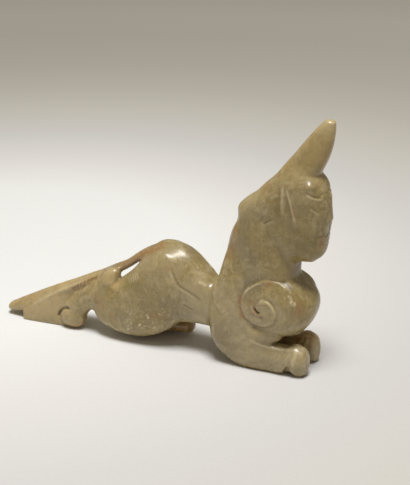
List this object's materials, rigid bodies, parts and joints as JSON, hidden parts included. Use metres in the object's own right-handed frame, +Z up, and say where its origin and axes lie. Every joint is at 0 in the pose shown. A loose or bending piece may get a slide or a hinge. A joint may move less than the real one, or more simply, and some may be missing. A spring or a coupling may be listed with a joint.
{
  "type": "jade mythical beast carving",
  "caption": "Crouching mythical beast carved from a flat jade slab, with a tall swept crest, spiral shoulder, low forelegs and a long tapering tail.",
  "frame": {"origin": "on the ground, under the middle of the carving's length and width", "axes": "+X from the tail towards the face, along the length; +Y across the slab, away from the side with the stretched hind leg; +Z up"},
  "size_m": [0.1199, 0.0206, 0.0837],
  "materials": {
    "jade": null
  },
  "bodies": {
    "root": {"jade_beast": "jade"}
  },
  "joints": []
}
